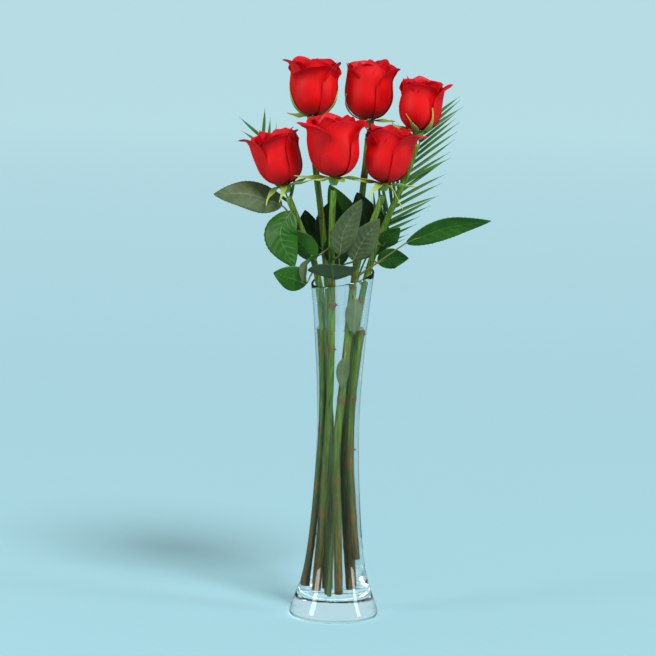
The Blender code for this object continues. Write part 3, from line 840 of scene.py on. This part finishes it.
def build_leaf(name, numbers, node, upper, under, petiole_material, seed):
    rng = random.Random(seed)
    stem, height, base, middle, tip, side, half_width, fold, front = numbers
    blade = smooth_path([point(base), point(middle), point(tip)], LEAF_ROWS + 1)
    lift = math.sin(math.radians(fold))
    spread = math.cos(math.radians(fold))
    ripple = rng.uniform(0, 6)
    shape = Shape()
    rows = []
    facing = 1
    for index, place in enumerate(blade):
        ahead = blade[min(index + 1, LEAF_ROWS)]
        behind = blade[max(index - 1, 0)]
        axis = (ahead - behind).normalized()
        across = (Vector(side) - axis * Vector(side).dot(axis)).normalized()
        normal = axis.cross(across)
        facing = 1 if normal.y > 0 else -1
        share = index / LEAF_ROWS
        reach = max(leaf_reach(share, half_width), 0.25) if 0 < share < 1 else 0.25
        row = []
        for column in range(LEAF_COLUMNS + 1):
            hand = 2 * column / LEAF_COLUMNS - 1
            bow = 0.10 * half_width * (1 - (1 - abs(hand)) ** 2)
            wave = 0.045 * half_width * math.sin(9 * share + ripple + 2 * hand) * abs(hand)
            slant = share - VEIN_SLANT * abs(hand)
            quilt = 0.022 * half_width * math.sin(2 * math.pi * SIDE_VEINS * slant) * (1 - abs(hand))
            rise = abs(hand) * lift * reach - bow * 0.4 + wave + quilt
            shift = across * hand * spread * reach + normal * rise
            row.append(shape.add(place + shift * MM, hand, share, rng.random()))
        rows.append(row)
    shape.grid(rows)
    faces_front = [upper, under] if front == "upper" else [under, upper]
    materials = faces_front if facing > 0 else list(reversed(faces_front))
    leaf = shape.build(name + "_blade", materials, thickness=LEAF_THICKNESS)
    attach(leaf, "root")
    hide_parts(node)
    start = stem_near(stem, height)
    halfway = start.lerp(point(base), 0.5)
    path = smooth_path([start, halfway, point(base), blade[LEAF_ROWS // 6]], PETIOLE_ROWS)
    radii = [(1.05 - 0.5 * k / (PETIOLE_ROWS - 1)) * MM for k in range(PETIOLE_ROWS)]
    shape = Shape()
    tube(shape, path, radii, 10)
    petiole = shape.build(name + "_stalk", [petiole_material])
    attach(petiole, "root")
    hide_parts(node)


# === Palm fronds ====================================================================================
RACHIS_RINGS = 120
LEAFLET_STEPS = 14
LEAFLET_THICKNESS = 0.3


def build_frond(name, material, rachis_material, seed):
    rng = random.Random(seed)
    route, (first, last), length, pairs, lean = FRONDS[name]
    path = smooth_path([point(values) for values in route], RACHIS_RINGS)
    radii = [(1.6 - 1.1 * k / (RACHIS_RINGS - 1)) * MM for k in range(RACHIS_RINGS)]
    shape = Shape()
    tube(shape, path, radii, 10)
    rachis = shape.build(name + "_rachis", [rachis_material])
    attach(rachis, "root")
    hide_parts(name)
    shape = Shape()
    for pair in range(pairs):
        share = first + (last - first) * (pair + 0.3) / pairs
        index = min(int(share * (RACHIS_RINGS - 1)), RACHIS_RINGS - 2)
        along = (path[index + 1] - path[index - 1]).normalized()
        right = (Vector((1, 0, 0)) - along * along.x).normalized()
        for hand in (-1, 1):
            place = path[index].copy()
            swell = 0.75 + 0.3 * math.sin(math.pi * (pair + 1) / (pairs + 1))
            reach = length * swell * rng.uniform(0.86, 1.06)
            tilt = lean + 0.5 * pair / pairs + rng.uniform(-0.22, 0.22)
            lift = rng.uniform(-0.25, 0.25)
            sag = rng.uniform(0.0, 0.55)
            rows = []
            for step in range(LEAFLET_STEPS + 1):
                t = step / LEAFLET_STEPS
                way = right * hand + along * (tilt + 0.25 * t) + Vector((0, lift, -sag * t))
                way.normalize()
                flat = (along - way * along.dot(way)).normalized()
                over = way.cross(flat)
                width = 1.45 * math.sin(math.pi * min(0.12 + t, 1) ** 0.8) ** 0.7 + 0.12
                row = []
                for across in (-1, -0.5, 0, 0.5, 1):
                    spot = place + (flat * across * width + over * abs(across) * width * 0.35) * MM
                    row.append(shape.add(spot, across, t))
                rows.append(row)
                place = place + way * reach / LEAFLET_STEPS * MM
            shape.grid(rows)
    leaflets = shape.build(name + "_leaflets", [material], thickness=LEAFLET_THICKNESS, levels=1)
    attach(leaflets, "root")
    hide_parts(name)


# === Studio =========================================================================================
FLOOR_HALF = 60
FLOOR_DROP = 0.0002
FLOOR_FADE = 6.0


def build_stage():
    mesh = bpy.data.meshes.new("floor")
    corners = [(x * FLOOR_HALF, y * FLOOR_HALF, 0) for x, y in ((-1, -1), (1, -1), (1, 1), (-1, 1))]
    mesh.from_pydata(corners, [], [(0, 1, 2, 3)])
    floor = bpy.data.objects.new("floor", mesh)
    bpy.context.scene.collection.objects.link(floor)
    floor.location.z = -FLOOR_DROP
    made = Nodes("pale_blue_floor")
    coordinate = made.node("TexCoord").outputs["Object"]
    split = made.node("SeparateXYZ")
    made.link(coordinate, split.inputs[0])
    # Painted light: the floor is coloured darker near the vase and lighter towards the back, painting in how
    # the light falls across it.
    far = made.math("DIVIDE", split.outputs[1], FLOOR_FADE, clamp=True)
    colour = made.ramp(far, [(0.0, (0.264, 0.466, 0.52)), (0.35, (0.323, 0.534, 0.603)),
                             (1.0, (0.39, 0.60, 0.653))])
    # Reflections show the floor dim, as an unlit room would be, so the glass stays clear of a pale veil.
    ray = made.node("LightPath")
    mirrored = made.math("SUBTRACT", ray.outputs["Is Glossy Ray"], ray.outputs["Is Transmission Ray"],
                         clamp=True)
    colour = made.mix(mirrored, colour, (0.07, 0.11, 0.12))
    made.link(colour, made.shader.inputs["Base Color"])
    made.set(Roughness=0.9, Specular_IOR_Level=0.1)
    mesh.materials.append(made.material)


def build_lights():
    world = bpy.data.worlds.new("studio")
    bpy.context.scene.world = world
    world.use_nodes = True
    tree = world.node_tree
    background = tree.nodes["Background"]
    background.inputs["Color"].default_value = (1, 1, 1, 1)
    background.inputs["Strength"].default_value = 0.45
    seen = tree.nodes.new("ShaderNodeBackground")
    seen.inputs["Color"].default_value = (0.55, 0.80, 0.87, 1)
    seen.inputs["Strength"].default_value = 0.95
    ray = tree.nodes.new("ShaderNodeLightPath")
    shine = tree.nodes.new("ShaderNodeBackground")
    shine.inputs["Color"].default_value = (0.9, 1, 1, 1)
    shine.inputs["Strength"].default_value = 0.10
    lit = tree.nodes.new("ShaderNodeMixShader")
    tree.links.new(ray.outputs["Is Glossy Ray"], lit.inputs[0])
    tree.links.new(background.outputs[0], lit.inputs[1])
    tree.links.new(shine.outputs[0], lit.inputs[2])
    either = tree.nodes.new("ShaderNodeMath")
    either.operation = "MAXIMUM"
    blend = tree.nodes.new("ShaderNodeMixShader")
    tree.links.new(ray.outputs["Is Camera Ray"], either.inputs[0])
    tree.links.new(ray.outputs["Is Transmission Ray"], either.inputs[1])
    tree.links.new(either.outputs[0], blend.inputs[0])
    tree.links.new(lit.outputs[0], blend.inputs[1])
    tree.links.new(seen.outputs[0], blend.inputs[2])
    tree.links.new(blend.outputs[0], tree.nodes["World Output"].inputs["Surface"])

    sun = bpy.data.lights.new("key", "SUN")
    sun.energy = 3.2
    sun.angle = math.radians(20)
    lamp = bpy.data.objects.new("key", sun)
    bpy.context.scene.collection.objects.link(lamp)
    lamp.rotation_euler = (math.radians(38), math.radians(14), math.radians(10))
    for name, place, size, energy in (("left_box", (-1.6, -0.9, 0.9), (0.5, 1.4), 16),
                                      ("right_box", (1.7, -0.6, 0.8), (0.35, 1.3), 12)):
        area = bpy.data.lights.new(name, "AREA")
        area.shape = "RECTANGLE"
        area.size, area.size_y = size
        area.energy = energy
        box = bpy.data.objects.new(name, area)
        bpy.context.scene.collection.objects.link(box)
        box.location = place
        box.rotation_euler = (Vector((0, 0, 0.3)) - Vector(place)).to_track_quat("-Z", "Y").to_euler()


def build_camera():
    forward = Vector((0, math.cos(CAMERA_PITCH), -math.sin(CAMERA_PITCH)))
    right = Vector((1, 0, 0))
    up = right.cross(forward)
    across = right * math.cos(CAMERA_ROLL) + up * math.sin(CAMERA_ROLL)
    upward = up * math.cos(CAMERA_ROLL) - right * math.sin(CAMERA_ROLL)
    turn = Matrix((across, upward, -forward)).transposed().to_4x4()
    data = bpy.data.cameras.new("camera")
    data.lens = CAMERA_LENS
    data.sensor_width = 36
    data.clip_end = 200
    camera = bpy.data.objects.new("camera", data)
    bpy.context.scene.collection.objects.link(camera)
    camera.matrix_world = Matrix.Translation(CAMERA_PLACE) @ turn
    bpy.context.scene.camera = camera


def main():
    build_camera()
    build_stage()
    build_lights()
    glass = clear_material("vase_glass", 1.5, (0.93, 0.955, 0.96))
    wet_glass = clear_material("vase_glass_against_water", 1.125, (0.985, 0.995, 0.995))
    water_top = clear_material("water_surface", 1.333, (0.99, 1.0, 1.0))
    inner = build_vase(glass, wet_glass)
    build_water(inner, water_top, unseen_material())
    stem = stem_material()
    calyx = plain_green("calyx_green", (0.16, 0.27, 0.03), (0.42, 0.50, 0.09), 0.5, 14)
    # The first red is painted shade for the petal roots deep in the bloom.
    red = petal_material("red_petal", (0.30, 0.006, 0.008), (0.82, 0.003, 0.005), (0.66, 0.002, 0.012))
    for seed, rose in enumerate(HEADS, start=1):
        build_stem(rose, stem, seed)
        build_calyx(rose, calyx, seed + 20)
        build_head(rose, red, seed + 40)
    upper = leaf_material("leaf_upper", (0.016, 0.085, 0.008), (0.035, 0.15, 0.012),
                          (0.12, 0.28, 0.05), 0.36, 0.4)
    under = leaf_material("leaf_under", (0.05, 0.085, 0.032), (0.10, 0.145, 0.06),
                          (0.22, 0.27, 0.12), 0.5, 0.5)
    stalk = plain_green("leaf_stalk", (0.16, 0.10, 0.03), (0.13, 0.20, 0.05), 0.45, 8)
    for seed, name in enumerate(LEAVES, start=60):
        build_leaf(name, LEAVES[name], name, upper, under, stalk, seed)
    # The leaves at the back get a darkened copy of the leaf green: painted shade.
    dark = leaf_material("leaf_painted_shade", (0.006, 0.028, 0.006), (0.014, 0.05, 0.01),
                         (0.05, 0.12, 0.03), 0.4, 0.4)
    for seed, name in enumerate(SHADED_BACK_LEAVES, start=90):
        build_leaf(name, SHADED_BACK_LEAVES[name], "leaf_behind", dark, dark, stalk, seed)
    palm = plain_green("palm_leaflet", (0.025, 0.10, 0.012), (0.06, 0.20, 0.03), 0.42, 10)
    rachis = plain_green("palm_rachis", (0.08, 0.12, 0.03), (0.06, 0.16, 0.05), 0.45, 8)
    for seed, name in enumerate(FRONDS, start=80):
        build_frond(name, palm, rachis, seed)
    bpy.context.scene.view_settings.view_transform = "Standard"


main()
